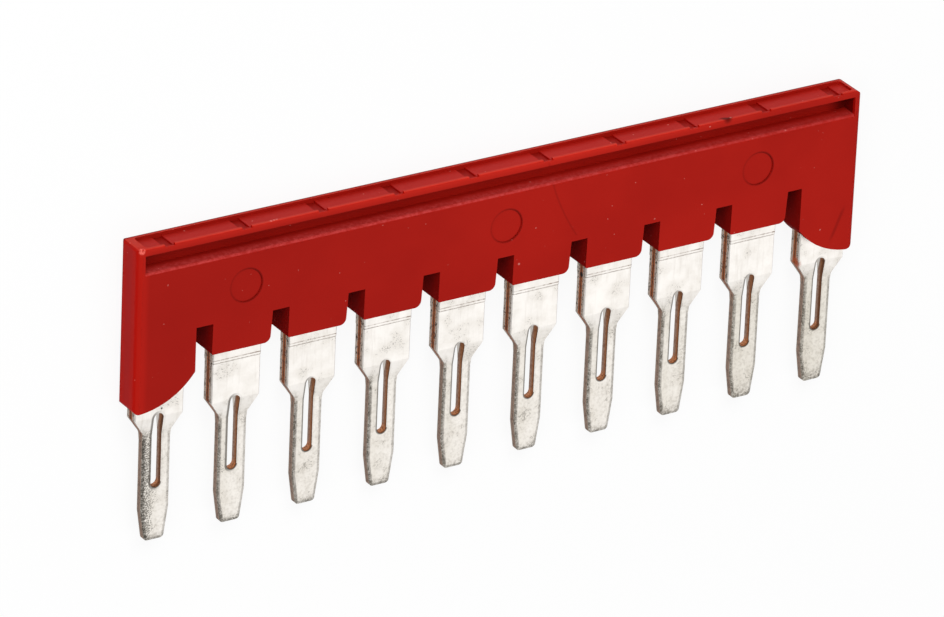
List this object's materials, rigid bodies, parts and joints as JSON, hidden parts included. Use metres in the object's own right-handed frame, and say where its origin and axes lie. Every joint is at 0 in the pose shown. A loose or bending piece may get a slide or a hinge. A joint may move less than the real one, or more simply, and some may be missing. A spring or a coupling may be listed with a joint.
{
  "type": "terminal block jumper bar",
  "caption": "Flat moulded bar with a marker channel, a lever groove and a row of slotted plug-in contact blades that bridges neighbouring terminal blocks.",
  "frame": {"origin": "middle of the whole bar, on the flat back face it lies on", "axes": "+X along the bar to its right end as seen from the front, +Y from the contact tips to the rail with the marker channel, +Z out of the front face with the lever groove"},
  "size_m": [0.08, 0.031, 0.0031],
  "materials": {
    "housing": "moulded red plastic, satin",
    "contact_comb_front": "tin plated copper alloy with bare copper at the cut edges",
    "contact_comb_back": "tin plated copper alloy with bare copper at the cut edges"
  },
  "bodies": {
    "root": {"housing": "housing", "contact_comb_front": "contact_comb_front", "contact_comb_back": "contact_comb_back"}
  },
  "joints": []
}
